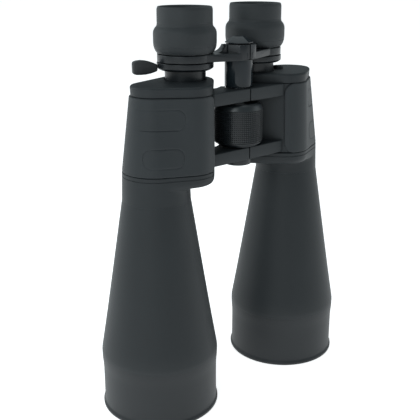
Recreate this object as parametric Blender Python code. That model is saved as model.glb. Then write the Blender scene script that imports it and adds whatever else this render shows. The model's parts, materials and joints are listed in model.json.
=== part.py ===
"""Zoom Porro-prism binoculars with 70 mm objectives, standing upright on their lens hoods.

Lengths are in millimetres, and MM turns them into Blender's metres where a mesh is made. The floor is
z = 0, both objective axes lie in y = 0, and the focus wheel's side faces -Y. "right" and "left" are the
user's own: looking down through the eyepieces with the wheel uppermost, the user's right is at -X.
Each half is described once, for the left, and the right half is its mirror image.
"""

import math

import bmesh
import bpy

MM = 0.001
GAP = 0.3                      # clearance between pieces that touch or run in each other
SIDES = {"right": -1, "left": 1}

# Plan positions of the vertical axes, for the left half
OBJECTIVE = (64.3, 0.0)
EYEPIECE = (33.0, 5.6)
HINGE = (0.0, -12.2)
CROSSING = (45.8, -12.9)       # where the light runs from the upper prism to the lower one
CROSSING_LOW = (47.0, -13.3)   # the casing's bulge around it leans outwards towards the bottom

# Objective end
LIP_R, HOOD_R, KINK_R, COLLAR_R = 42.0, 40.9, 41.6, 23.5
KINK_Z, COLLAR_Z = 40.8, 154.2
LENS_R = 35.0
SPIGOT_R = 20.9                # the tube's spigot in the prism casing's lower cover

# Prism casing
CASING_Z = (174.3, 224.8)
CASING_WALL = 2.0
RUBBER = 1.3                   # thickness of the rubber skin, which lies GAP off the casing
RADII_LOW = (21.2, 18.6, 16.6)     # casing radii around objective, eyepiece and crossing, at the bottom
RADII_TOP = (14.9, 18.6, 15.1)     # and at the top
OUTLINE_POINTS = 30
COVER_Z = (225.2, 231.6)
LOWER_COVER_Z = (164.6, 173.9)

# Prisms: right-angled, with the long face on the shelf
PRISM_LONG, PRISM_WIDE, PRISM_TALL = 42.0, 18.5, 19.0
SHELF_Z = (197.7, 199.7)
BEAM_R = 9.0

# Hinge
ARM_Z = {"upper": (216.3, 224.9), "lower": (175.3, 183.9)}
ARM_FRONT_Y, ARM_BACK_Y = -24.4, -6.2
KNUCKLE_R, KNUCKLE_BORE = 9.0, 6.7
SHELL_R = 9.4                  # an arm's hollow end, which wraps round the other arm's knuckle
HALF_SLIT = 0.5
PIN_R = 6.4

# Focus drive and eyepiece bridge
WHEEL_R, WHEEL_Z = 17.3, (184.5, 214.3)
SCREW_R = 4.0
SLEEVE_R = 9.7
HUB_Z = (244.6, 254.4)
BRIDGE_Z = (243.7, 248.7)
BRIDGE_RING_R = 19.0

# Eyepieces
OCULAR_R, OCULAR_BORE = 14.0, 12.6
OCULAR_Z = (217.0, 262.0)
ZOOM_RING_R, ZOOM_Z = 19.3, (238.3, 243.3)
LEVER_ANGLE, LEVER_R = 156.0, 36.5     # degrees anticlockwise from +X, seen from above
CAM_R = 12.3
CARRIER_R = 11.0
HEAD_R = 16.8
EYECUP_R, EYECUP_TOP_R = 21.4, 18.7
TOP_Z = 279.5


def material(name, colour, roughness, metallic=0.0, transmission=0.0):
    made = bpy.data.materials.new(name)
    made.use_nodes = True
    shader = made.node_tree.nodes["Principled BSDF"]
    shader.inputs["Base Color"].default_value = (*colour, 1.0)
    shader.inputs["Roughness"].default_value = roughness
    shader.inputs["Metallic"].default_value = metallic
    shader.inputs["Transmission Weight"].default_value = transmission
    return made


def clear_scene():
    for obj in list(bpy.data.objects):
        bpy.data.objects.remove(obj)


# Points and loops ------------------------------------------------------------------------------------

def polar(centre, radius, degrees):
    angle = math.radians(degrees)
    return (centre[0] + radius * math.cos(angle), centre[1] + radius * math.sin(angle))


def raised(points, z):
    return [(x, y, z) for x, y in points]


def circle(centre, radius, z, count):
    return raised([polar(centre, radius, 360 * k / count) for k in range(count)], z)


def arc(centre, radius, start, stop, count):
    """Plan points from one angle to another, both ends included."""
    return [polar(centre, radius, start + (stop - start) * k / (count - 1)) for k in range(count)]


def band_point(circles, degrees):
    """The point of a taut band around circles (centre, radius) where its outward normal has this angle."""
    across, along = math.cos(math.radians(degrees)), math.sin(math.radians(degrees))
    centre, radius = max(circles, key=lambda c: c[0][0] * across + c[0][1] * along + c[1])
    return (centre[0] + radius * across, centre[1] + radius * along)


def band(circles, z, count=OUTLINE_POINTS):
    return raised([band_point(circles, 360 * k / count) for k in range(count)], z)


def casing_circles(z, grow=0.0):
    """The casing's three circles at a height, grown by a margin. Its sides lean, so they change with z."""
    share = (z - CASING_Z[0]) / (CASING_Z[1] - CASING_Z[0])
    radii = [low + (top - low) * share + grow for low, top in zip(RADII_LOW, RADII_TOP)]
    crossing = [low + (top - low) * share for low, top in zip(CROSSING_LOW, CROSSING)]
    return list(zip((OBJECTIVE, EYEPIECE, crossing), radii))


# Meshes ----------------------------------------------------------------------------------------------

def make(name, mesh, finish, side=1, smooth=True):
    """An object from a bmesh in millimetres, mirrored to the right half if side is -1."""
    for vert in mesh.verts:
        vert.co.x *= side * MM
        vert.co.y *= MM
        vert.co.z *= MM
    bmesh.ops.triangulate(mesh, faces=mesh.faces)      # flat faces, which the Booleans need
    bmesh.ops.recalc_face_normals(mesh, faces=mesh.faces)
    data = bpy.data.meshes.new(name)
    mesh.to_mesh(data)
    mesh.free()
    if smooth:
        data.shade_smooth()
        data.set_sharp_from_angle(angle=math.radians(35))
    obj = bpy.data.objects.new(name, data)
    if finish is not None:
        data.materials.append(finish)
    bpy.context.scene.collection.objects.link(obj)
    return obj


def skinned(loops, closed):
    """A mesh through equal loops of points: a ring of loops if closed, else with both ends filled."""
    mesh = bmesh.new()
    rings = [[mesh.verts.new(point) for point in loop] for loop in loops]
    count = len(rings[0])
    pairs = list(zip(rings, rings[1:]))
    if closed:
        pairs.append((rings[-1], rings[0]))
    else:
        mesh.faces.new(rings[0])
        mesh.faces.new(rings[-1])
    for low, high in pairs:
        for k in range(count):
            n = (k + 1) % count
            mesh.faces.new((low[k], low[n], high[n], high[k]))
    return mesh


def turned(centre, profile, count):
    """A ring turned about a vertical axis from a closed profile of (radius, z)."""
    return skinned([circle(centre, r, z, count) for r, z in profile], closed=True)


def turned_solid(centre, profile, count):
    """A solid turned from an open profile of (radius, z), with flat faces at its first and last point."""
    return skinned([circle(centre, r, z, count) for r, z in profile], closed=False)


def extruded(points, low, high):
    return skinned([raised(points, low), raised(points, high)], closed=False)


def join(obj, mesh, operation, side=1):
    """Unites a hidden helper mesh with an object, or cuts it away."""
    helper = make(f"{obj.name}_{operation.lower()}_{len(obj.modifiers)}", mesh, None, side, smooth=False)
    helper.hide_render = True
    helper.display_type = "WIRE"
    modifier = obj.modifiers.new(operation.title(), "BOOLEAN")
    modifier.operation = operation
    modifier.object = helper
    modifier.solver = "MANIFOLD"                       # every mesh here is closed


# Objective end ---------------------------------------------------------------------------------------

def lens_hood(name, side, finish):
    inner = 39.2
    profile = [(39.8, 0), (41.4, 0), (LIP_R, 0.6), (LIP_R, 2.4), (HOOD_R, 4), (HOOD_R, 34),
               (KINK_R, KINK_Z - 0.4), (inner, KINK_Z - 0.4), (inner, 0.6)]
    make(name, turned(OBJECTIVE, profile, 28), finish, side)


def objective_tube(name, side, finish):
    """The cone, with a spigot at each end: down inside the hood, and up inside the lower cover."""
    profile = [(38.9, KINK_Z), (KINK_R, KINK_Z), (COLLAR_R, COLLAR_Z), (SPIGOT_R, COLLAR_Z),
               (SPIGOT_R, 163.5), (19.6, 163.5), (19.6, 150), (39.0, 47), (37.4, 45.5), (37.4, 30.5),
               (38.9, 30.5)]
    make(name, turned(OBJECTIVE, profile, 28), finish, side)


def objective_cell(name, side, finish):
    profile = [(37.1, 30.5), (37.1, 45), (33.6, 45), (33.6, 43.2), (LENS_R + GAP, 43.2),
               (LENS_R + GAP, 30.5)]
    make(name, turned(OBJECTIVE, profile, 28), finish, side)


def objective_lens(name, side, finish):
    """The cemented doublet, bulging towards the floor."""
    profile = [(6, 29.3), (22, 30.3), (LENS_R, 32.6), (LENS_R, 42.0), (20, 42.8)]
    make(name, turned_solid(OBJECTIVE, profile, 28), finish, side)


def retaining_ring(name, side, finish):
    profile = [(LENS_R, 30.2), (LENS_R, 31.8), (33.4, 31.8), (33.4, 30.2)]
    make(name, turned(OBJECTIVE, profile, 28), finish, side)


# Prism casing ----------------------------------------------------------------------------------------

def arm_plan():
    """A hinge arm from above: a flat front and a hollow end, reaching well into the casing's wall."""
    root = [(33.0, ARM_FRONT_Y), (36.0, -21.5), (34.0, -16.5), (26.5, -9.5), (22.0, ARM_BACK_Y)]
    shoulder = [(15.0, -5.9), (10.3, -3.5), (7.4, -2.0)]
    return [(HALF_SLIT, ARM_FRONT_Y), *root, *shoulder, *arc(HINGE, SHELL_R, 55, -87, 11)]


def knuckle(low, high, bore):
    """A knuckle ring about the hinge axis, thicker on its own arm's side, where it meets the arm."""
    count = 24
    outer = [polar(HINGE, KNUCKLE_R + (2.0 if math.cos(2 * math.pi * k / count) > 0.6 else 0.0),
                   360 * k / count) for k in range(count)]
    loops = [raised(outer, low), raised(outer, high), circle(HINGE, bore, high, count),
             circle(HINGE, bore, low, count)]
    return skinned(loops, closed=True)


def knuckle_span(z_range, upper_half):
    """The half of an arm's height that one side's knuckle takes, just short of the arm's faces."""
    low, high = z_range
    middle = (low + high) / 2
    return (middle + 0.2, high - 0.2) if upper_half else (low + 0.2, middle - 0.2)


def prism_casing(name, side, finish):
    """The die-cast casing, open at both ends, with its two hinge arms."""
    low, high = CASING_Z
    loops = [band(casing_circles(low), low), band(casing_circles(high), high),
             band(casing_circles(high, -CASING_WALL), high), band(casing_circles(low, -CASING_WALL), low)]
    casing = make(name, skinned(loops, closed=True), finish, side)
    for z_range in ARM_Z.values():
        join(casing, extruded(arm_plan(), *z_range), "UNION", side)
        span = knuckle_span(z_range, upper_half=side > 0)
        join(casing, knuckle(*span, KNUCKLE_BORE), "UNION", side)


def rubber_skin(name, side, finish):
    """The rubber round the casing. It stops short of the face towards the hinge."""
    low, high = CASING_Z[0] + 0.3, CASING_Z[1] - 0.3
    first, last, count = -136, 150, 25
    sections = []
    for k in range(count):
        angle = first + (last - first) * k / (count - 1)
        corners = [(low, GAP + RUBBER), (high, GAP + RUBBER), (high, GAP), (low, GAP)]
        sections.append([(*band_point(casing_circles(z, grow), angle), z) for z, grow in corners])
    make(name, skinned(sections, closed=False), finish, side)


def upper_cover(name, side, finish):
    """The cover at the eyepiece end: a shallow cup with the eyepiece tube's bore in its roof."""
    low, high = COVER_Z
    edge, ceiling, count = high - 0.8, high - 2.2, OUTLINE_POINTS
    rim = GAP + RUBBER - 0.7
    bore = OCULAR_R + 0.4
    loops = [band(casing_circles(low, rim), low), band(casing_circles(low, rim), edge),
             band(casing_circles(low, rim - 0.8), high), circle(EYEPIECE, bore, high, count),
             circle(EYEPIECE, bore, ceiling, count), band(casing_circles(low, rim - 2.2), ceiling),
             band(casing_circles(low, rim - 2.2), low)]
    cover = make(name, skinned(loops, closed=True), finish, side)
    if side > 0:
        plug = [(3.7, high - 1), (3.7, high + 1.9), (2.9, high + 2.4)]
        join(cover, turned_solid((52.0, -0.5), plug, 16), "UNION")


def lower_cover(name, side, finish):
    """The cover at the objective end, with the collar that the objective tube screws into."""
    low, high = LOWER_COVER_Z
    rim, count, bore = GAP + RUBBER - 0.4, OUTLINE_POINTS, SPIGOT_R + GAP
    objective, eyepiece, crossing = casing_circles(CASING_Z[0], rim)

    def shape(objective_r, shrink, z):
        parts = [(objective[0], objective_r), (eyepiece[0], eyepiece[1] - shrink),
                 (crossing[0], crossing[1] - shrink)]
        return band(parts, z)

    loops = [shape(objective[1], 0, high), shape(COLLAR_R - 0.4, 0, high - 5),
             shape(COLLAR_R, 2.6, low + 0.8), circle(OBJECTIVE, COLLAR_R, low, count),
             circle(OBJECTIVE, COLLAR_R, COLLAR_Z + GAP, count), circle(OBJECTIVE, bore, COLLAR_Z + GAP, count),
             circle(OBJECTIVE, bore, low + 2.4, count), shape(bore, 4.4, low + 2.8),
             shape(objective[1] - 2, 2.2, high)]
    make(name, skinned(loops, closed=True), finish, side)


# Prisms ----------------------------------------------------------------------------------------------

def prism_frame(first, second):
    """Middle, long direction and wide direction of the prism that bends light from one axis to another."""
    middle = ((first[0] + second[0]) / 2, (first[1] + second[1]) / 2)
    apart = math.dist(first, second)
    along = ((second[0] - first[0]) / apart, (second[1] - first[1]) / apart)
    return middle, along, (-along[1], along[0])


def across_prism(place, outline, base, way, width):
    """A solid whose outline (distance along the prism, height off its long face) spans its width."""
    middle, along, wide = place
    loops = []
    for half in (-width / 2, width / 2):
        loops.append([(middle[0] + t * along[0] + half * wide[0], middle[1] + t * along[1] + half * wide[1],
                       base + way * height) for t, height in outline])
    return skinned(loops, closed=False)


def prism(name, side, finish, place, base, way):
    half, ridge = PRISM_LONG / 2, PRISM_LONG / 2 - PRISM_TALL
    outline = [(-half, 0), (half, 0), (ridge, PRISM_TALL), (-ridge, PRISM_TALL)]
    make(name, across_prism(place, outline, base, way, PRISM_WIDE), finish, side, smooth=False)


def prism_clip(name, side, finish, place, base, way):
    """The sprung strap that holds a prism down on the shelf: up one slope, over the ridge and down."""
    middle, along, wide = place
    foot, ridge, tall, thick = PRISM_LONG / 2 + 0.6, PRISM_LONG / 2 - PRISM_TALL + 0.2, PRISM_TALL + 0.4, 0.9
    path = [(foot, 0, 1), (ridge, tall, 1), (-ridge, tall, -1), (-foot, 0, -1)]
    loops = []
    for t, height, way_out in path:
        outer = (t + way_out * thick * (1.4 if height == 0 else 0.6), height + (0 if height == 0 else thick))
        loops.append([(middle[0] + a * along[0] + half * wide[0], middle[1] + a * along[1] + half * wide[1],
                       base + way * h) for a, h, half in ((t, height, -3.0), (*outer, -3.0), (*outer, 3.0),
                                                          (t, height, 3.0))])
    make(name, skinned(loops, closed=False), finish, side, smooth=False)


def prism_shelf(name, side, finish):
    low, high = SHELF_Z
    loops = [band(casing_circles(z, -CASING_WALL - 0.5), z) for z in (low, high)]
    shelf = make(name, skinned(loops, closed=False), finish, side)
    for axis in (OBJECTIVE, CROSSING, EYEPIECE):
        join(shelf, extruded(arc(axis, BEAM_R, 0, 337.5, 16), low - 1, high + 1), "DIFFERENCE", side)


# Hinge and focus drive -------------------------------------------------------------------------------

def hinge_guide_tube(finish):
    """The upper hinge pin, a tube that the bridge sleeve also slides on."""
    profile = [(PIN_R, 215.0), (PIN_R, 241.0), (SCREW_R + 0.4, 241.0), (SCREW_R + 0.4, 215.0)]
    make("hinge_guide_tube", turned(HINGE, profile, 24), finish)


def hinge_foot_pin(finish):
    """The lower hinge pin: a stub for the wheel above, and the tripod socket's bore from below."""
    low, flange, socket = 175.2, 184.9, 3.2
    profile = [(SCREW_R, 195.0), (SCREW_R, flange), (PIN_R, flange), (PIN_R, low), (socket, low),
               (socket, flange - 1)]
    make("hinge_foot_pin", turned_solid(HINGE, profile, 24), finish)


def tripod_socket_cap(finish):
    profile = [(2.9, 181.0), (2.9, 174.8), (10.1, 174.8), (10.1, 171.3), (9.2, 170.4)]
    make("tripod_socket_cap", turned_solid(HINGE, profile, 24), finish)


def focus_wheel(hub_finish, grip_finish):
    """The wheel's core, which is the nut of the focus screw, and its rubber grip."""
    low, high = WHEEL_Z
    core = [(7.2, low), (13.9, low), (14.9, low + 1), (14.9, high - 0.9), (13.9, high),
            (SCREW_R + 0.4, high), (SCREW_R + 0.4, low + 1.2), (7.2, low + 1.2)]
    make("focus_wheel_core", turned(HINGE, core, 24), hub_finish)
    grip = [(15.2, low + 1.4), (16.2, low + 1.4), (WHEEL_R, low + 3.1), (WHEEL_R, high - 4), (15.7, high - 0.6),
            (15.2, high - 0.6)]
    make("focus_wheel_grip", turned(HINGE, grip, 32), grip_finish)


def focus_screw(finish):
    make("focus_screw", turned_solid(HINGE, [(SCREW_R, 197.0), (SCREW_R, 254.2)], 16), finish)


def bridge_sleeve(finish):
    low, high, bore = ARM_Z["upper"][1] + 0.5, HUB_Z[0] - GAP, PIN_R + GAP
    profile = [(SLEEVE_R, low), (SLEEVE_R, high), (bore, high), (bore, low)]
    make("bridge_sleeve", turned(HINGE, profile, 28), finish)


def bridge_cap(finish):
    """The eight-sided cap nut on the bridge."""
    low = HUB_Z[1] + GAP
    profile = [(9.4, low), (9.7, low + 0.9), (4.0, low + 4.7)]
    make("bridge_cap", turned_solid(HINGE, profile, 8), finish, smooth=False)


# Eyepiece bridge -------------------------------------------------------------------------------------

def hub_ramp():
    """Falls from the hub's top to the arm's, along the middle of the arm."""
    out, across = (0.880, 0.475), (-0.475, 0.880)
    loops = []
    for run, top in ((10.2, 253.9), (11.0, 253.9), (12.0, 251.9), (14.5, 250.3), (18.0, 249.4), (21.0, 248.6)):
        near, far = ((HINGE[0] + run * out[0] + w * across[0], HINGE[1] + run * out[1] + w * across[1])
                     for w in (-6.5, 5.5))
        loops.append([(*near, 246.0), (*near, top), (*far, top), (*far, 246.0)])
    return skinned(loops, closed=False)


def bridge_arm(name, side, finish):
    """A ring round the eyepiece tube, a flat arm, and a hub that a ramp joins to the arm's top.

    The left one carries the hub's roof.
    """
    low, high = BRIDGE_Z
    bore = OCULAR_R + GAP
    ring = [(BRIDGE_RING_R, low), (BRIDGE_RING_R, high), (bore, high), (bore, low)]
    arm = make(name, turned(EYEPIECE, ring, 28), finish, side)
    hollow = arc(HINGE, SHELL_R, 40, -87, 9)
    inside_ring = arc(EYEPIECE, (BRIDGE_RING_R + bore) / 2, -72, -212, 8)
    bar = [(2.0, -24.0), (5.5, -23.1), *inside_ring, (9.2, -4.2), *arc(HINGE, 10.6, 40, -80, 8)]
    join(arm, extruded(bar, low + 0.3, high + 0.3), "UNION", side)
    shell = [(HALF_SLIT, -23.4), (3.8, -23.2), (7.6, -21.4), (11.8, -13.5), (10.6, -7.0), *hollow]
    join(arm, extruded(shell, *HUB_Z), "UNION", side)
    join(arm, hub_ramp(), "UNION", side)
    span = knuckle_span(HUB_Z, upper_half=side > 0)
    if side > 0:
        join(arm, knuckle(*span, SCREW_R + GAP), "UNION", side)
        boss = [(PIN_R, HUB_Z[0] + 0.2), (PIN_R, span[0] + 1), (SCREW_R + 0.8, span[0] + 1),
                (SCREW_R + 0.8, HUB_Z[0] + 0.2)]
        join(arm, turned(HINGE, boss, 24), "UNION")
    else:
        join(arm, knuckle(*span, KNUCKLE_BORE), "UNION", side)


# Eyepieces -------------------------------------------------------------------------------------------

def sector(centre, inner, outer, start, stop, low, high):
    plan = arc(centre, outer, start, stop, 12) + arc(centre, inner, stop, start, 12)
    return extruded(plan, low, high)


def ocular_tube(name, side, finish):
    """The eyepiece tube, with a slot for the cam sleeve's drive stud."""
    low, high = OCULAR_Z
    profile = [(OCULAR_R, low), (OCULAR_R, high), (OCULAR_BORE, high), (OCULAR_BORE, low)]
    tube = make(name, turned(EYEPIECE, profile, 24), finish, side)
    slot = sector(EYEPIECE, OCULAR_BORE - 1, OCULAR_R + 1, -80, 80, 239.5, 241.9)
    join(tube, slot, "DIFFERENCE", side)


def zoom_ring(name, side, finish):
    low, high = ZOOM_Z
    bore = OCULAR_R + 0.4
    profile = [(ZOOM_RING_R - 1.6, low), (ZOOM_RING_R, low + 1.2), (ZOOM_RING_R, high), (bore, high),
               (bore, low)]
    ring = make(name, turned(EYEPIECE, profile, 28), finish, side)
    notch = [(x + EYEPIECE[0], y + EYEPIECE[1]) for x, y in ((13, -1.2), (16.2, -1.2), (16.2, 1.2), (13, 1.2))]
    join(ring, extruded(notch, low - 1, 242.0), "DIFFERENCE", side)


def zoom_cam_sleeve(name, side, finish):
    profile = [(CAM_R, 222), (CAM_R, 258), (CARRIER_R + GAP, 258), (CARRIER_R + GAP, 222)]
    sleeve = make(name, turned(EYEPIECE, profile, 20), finish, side)
    stud = [(EYEPIECE[0] + x, EYEPIECE[1] + y) for x, y in ((11.8, -0.8), (15.8, -0.8), (15.8, 0.8),
                                                            (11.8, 0.8))]
    join(sleeve, extruded(stud, 239.9, 241.5), "UNION", side)


def zoom_lever(finish):
    """The thumb paddle on the right zoom ring: a thin neck that widens into a tall flat blade."""
    centre = (-EYEPIECE[0], EYEPIECE[1])
    stations = [(ZOOM_RING_R + GAP, 238.0, 242.2, 3.2), (22.5, 236.9, 243.3, 3.6), (26, 236.1, 244.5, 4.4),
                (30, 235.7, 245.3, 5.0), (35.2, 235.9, 244.8, 5.0), (LEVER_R, 236.8, 243.8, 3.6)]
    loops = []
    for radius, low, high, thick in stations:
        near, far = (polar(polar(centre, radius, LEVER_ANGLE), half, LEVER_ANGLE + 90)
                     for half in (-thick / 2, thick / 2))
        loops.append([(*near, low), (*near, high), (*far, high), (*far, low)])
    make("zoom_lever", skinned(loops, closed=False), finish)


def zoom_carrier(name, side, finish, low, high):
    profile = [(CARRIER_R, low), (CARRIER_R, high), (9.0, high), (9.0, low)]
    make(name, turned(EYEPIECE, profile, 16), finish, side)


def small_lens(name, side, finish, radius, low, high, bulge):
    profile = [(radius * 0.4, low), (radius, low + bulge), (radius, high - bulge), (radius * 0.4, high)]
    make(name, turned_solid(EYEPIECE, profile, 16), finish, side)


def eyepiece_head(name, side, finish):
    """The head that carries the eye lens. On the right its wider bore takes the dioptre cell."""
    low, shelf, top = 249.2, 262.4, 273.0
    if side > 0:
        inside = [(9.8, top), (9.8, 271.6), (10.8, 271.6), (10.8, 264.0), (9.8, 264.0), (9.8, shelf)]
    else:
        inside = [(11.6, top), (11.6, 272.5), (12.7, 272.5), (12.7, shelf)]
    profile = [(HEAD_R, low), (HEAD_R, top - 1), (HEAD_R - 1, top), *inside, (OCULAR_R + GAP, shelf),
               (OCULAR_R + GAP, low)]
    make(name, turned(EYEPIECE, profile, 24), finish, side)


def dioptre_cell(finish):
    profile = [(12.4, 264.4), (12.4, 270.6), (8.8, 270.6), (8.8, 270.1), (9.9, 270.1), (9.9, 264.9),
               (8.8, 264.9), (8.8, 264.4)]
    make("dioptre_cell", turned(EYEPIECE, profile, 20), finish, SIDES["right"])


def rubber_eyecup(name, side, finish):
    bore = HEAD_R + GAP
    profile = [(18.6, 249.2), (20.6, 251.6), (EYECUP_R, 254.8), (EYECUP_R, 263.8), (EYECUP_TOP_R, 267.0),
               (EYECUP_TOP_R, 278.6), (17.9, TOP_Z), (16.7, 278.8), (bore, 272.0), (bore, 249.2)]
    make(name, turned(EYEPIECE, profile, 28), finish, side)


# Assembly --------------------------------------------------------------------------------------------

def make_half(word, side, look):
    lens_hood(f"lens_hood_{word}", side, look["rubber"])
    objective_tube(f"objective_tube_{word}", side, look["armour"])
    objective_cell(f"objective_cell_{word}", side, look["black_metal"])
    objective_lens(f"objective_lens_{word}", side, look["coated_glass"])
    retaining_ring(f"retaining_ring_{word}", side, look["black_metal"])
    prism_casing(f"prism_casing_{word}", side, look["paint"])
    rubber_skin(f"rubber_skin_{word}", side, look["armour"])
    upper_cover(f"upper_cover_{word}", side, look["paint"])
    lower_cover(f"lower_cover_{word}", side, look["paint"])
    prism_shelf(f"prism_shelf_{word}", side, look["black_metal"])
    upward = (prism_frame(OBJECTIVE, CROSSING), SHELF_Z[1] + 0.5, 1)
    downward = (prism_frame(CROSSING, EYEPIECE), SHELF_Z[0] - 0.5, -1)
    for level, spot in (("upper", upward), ("lower", downward)):
        prism(f"{level}_prism_{word}", side, look["clear_glass"], *spot)
        prism_clip(f"{level}_prism_clip_{word}", side, look["steel"], *spot)


def make_eyepiece(word, side, look):
    bridge_arm(f"bridge_arm_{word}", side, look["satin_black"])
    ocular_tube(f"ocular_tube_{word}", side, look["satin_black"])
    zoom_ring(f"zoom_ring_{word}", side, look["satin_black"])
    zoom_cam_sleeve(f"zoom_cam_sleeve_{word}", side, look["black_metal"])
    for level, low, high in (("lower", 225.0, 231.0), ("upper", 241.0, 247.0)):
        zoom_carrier(f"{level}_zoom_cell_{word}", side, look["brass"], low, high)
        small_lens(f"{level}_zoom_lens_{word}", side, look["clear_glass"], 8.7, low + 0.5, high - 0.5, 1.2)
    eyepiece_head(f"eyepiece_head_{word}", side, look["satin_black"])
    if side > 0:
        small_lens(f"eye_lens_{word}", side, look["coated_glass"], 10.5, 264.4, 271.2, 1.4)
    else:
        small_lens(f"eye_lens_{word}", side, look["coated_glass"], 9.6, 265.2, 269.8, 1.2)
        dioptre_cell(look["black_metal"])
    rubber_eyecup(f"rubber_eyecup_{word}", side, look["rubber"])


def make_centre(look):
    hinge_guide_tube(look["steel"])
    hinge_foot_pin(look["black_metal"])
    tripod_socket_cap(look["satin_black"])
    focus_wheel(look["satin_black"], look["rubber"])
    focus_screw(look["steel"])
    bridge_sleeve(look["gloss_black"])
    bridge_cap(look["gloss_black"])
    zoom_lever(look["satin_black"])


def main():
    clear_scene()
    look = {
        "rubber": material("rubber", (0.032, 0.036, 0.038), 0.62),
        "armour": material("armour", (0.035, 0.040, 0.043), 0.55),
        "paint": material("paint", (0.030, 0.034, 0.036), 0.45),
        "satin_black": material("satin_black", (0.020, 0.022, 0.024), 0.35),
        "gloss_black": material("gloss_black", (0.018, 0.020, 0.022), 0.15),
        "black_metal": material("black_metal", (0.015, 0.015, 0.016), 0.5, metallic=1.0),
        "steel": material("steel", (0.55, 0.56, 0.58), 0.3, metallic=1.0),
        "brass": material("brass", (0.60, 0.45, 0.20), 0.3, metallic=1.0),
        "clear_glass": material("clear_glass", (0.95, 0.97, 0.97), 0.02, transmission=1.0),
        "coated_glass": material("coated_glass", (0.55, 0.30, 0.45), 0.03, transmission=0.9),
    }
    for word, side in SIDES.items():
        make_half(word, side, look)
        make_eyepiece(word, side, look)
    make_centre(look)


main()
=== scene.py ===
"""The looks of the zoom binoculars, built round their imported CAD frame.

Shapes are written in millimetres, and place() turns them into metres. Each half is written once, for the
user's left at +X, and side = -1 mirrors it to the right. Heights and plan positions repeat the CAD's.
A corner of a profile is (radius, z, rounding); a corner of a plan is (x, y, rounding).
"""

import json
import math

import bmesh
import bpy
import numpy as np
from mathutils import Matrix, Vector


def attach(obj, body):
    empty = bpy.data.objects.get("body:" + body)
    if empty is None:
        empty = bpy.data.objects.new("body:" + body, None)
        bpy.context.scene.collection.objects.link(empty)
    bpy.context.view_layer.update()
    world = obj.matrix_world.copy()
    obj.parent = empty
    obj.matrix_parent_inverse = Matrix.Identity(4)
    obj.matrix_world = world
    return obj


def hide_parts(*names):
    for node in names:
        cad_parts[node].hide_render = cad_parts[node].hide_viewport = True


MM = 0.001
SIDES = {"right": -1, "left": 1}

# Plan positions of the vertical axes, for the left half
OBJECTIVE = (64.3, 0.0)
EYEPIECE = (33.0, 5.6)
HINGE = (0.0, -12.2)
CROSSING = (45.8, -12.9)
CROSSING_LOW = (47.0, -13.3)

# Objective end
BAFFLE_R = 39.2                # the hood's inside
CONE_FOOT = (41.6, 40.8)       # radius and height where the cone leaves the hood
CONE_TOP = (23.5, 154.2)       # and where it meets the lower cover's collar

# Prism casing: radii round objective, eyepiece and crossing
CASING_Z = (174.3, 224.8)
RADII_LOW = (21.2, 18.6, 16.6)
RADII_TOP = (14.9, 18.6, 15.1)
CASING_WALL = 2.0
ARM_Z = {"upper": (216.3, 224.9), "lower": (175.3, 183.9)}
ARM_FRONT_Y = -24.4
HALF_SLIT = 0.5                # between the two halves' arms
SHELL_R = 9.4                  # an arm's hollow end, round the other half's knuckle
KNUCKLE_R = 9.0
PIN_BORE = 6.7                 # through a knuckle on the hinge tube or on the other half's boss
SCREW_BORE = 4.3               # through the knuckle that holds the focus screw

# Rubber skin
SKIN_OUT = 1.6                 # its face, out from the casing
SKIN_THICK = 1.25
SKIN_NORMALS = (-136.0, 150.0)
SKIN_CORNER, SKIN_EDGE = 8.0, 0.7
FACE_TURN = math.radians(31)   # how far the front outer face is turned from the X axis
FACE_ACROSS = (math.cos(FACE_TURN), math.sin(FACE_TURN))
FACE_OUT = (math.sin(FACE_TURN), -math.cos(FACE_TURN))

# The sunk outlines on that face: low and high across it, then low and high in z, and the corner radius
LOWER_OUTLINE = ((38.5, 65.4, 180.2, 192.7), 5.2)
UPPER_OUTLINE = ((37.0, 84.0, 204.6, 217.9), 6.0)
DOT = (50.5, 192.9)

# Focus drive, eyepiece bridge and eyepieces
HUB_Z = (244.6, 254.4)
BRIDGE_Z = (243.7, 248.7)
WHEEL_Z = (184.5, 214.3)
TUBE_R, TUBE_BORE = 14.0, 12.6
CUP_FOOT_Z = 249.2
ARM_BODY = {"left": "bridge", "right": "right_bridge"}
HEAD_BODY = {"left": "bridge", "right": "right_eyepiece_head"}

FINE, COARSE = 160, 96         # points round a turned shape
BAND = 240                     # points round the casing
CENTRE_R = 0.02                # the innermost ring of a lens


# Finishes --------------------------------------------------------------------------------------------

PATCH_SCALE = 38.0
GLOSS_SWING = 0.08


def blank(name):
    """A new material with its node tree and its shader."""
    made = bpy.data.materials.new(name)
    made.use_nodes = True
    return made, made.node_tree, made.node_tree.nodes["Principled BSDF"]


def blend(tree, share, low, high):
    """A colour mix by a share. Each colour is three numbers or a socket."""
    node = tree.nodes.new("ShaderNodeMix")
    node.data_type = "RGBA"
    tree.links.new(share, node.inputs[0])
    for socket, colour in ((node.inputs[6], low), (node.inputs[7], high)):
        if isinstance(colour, bpy.types.NodeSocket):
            tree.links.new(colour, socket)
        else:
            socket.default_value = (*colour, 1)
    return node.outputs[2]


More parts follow.
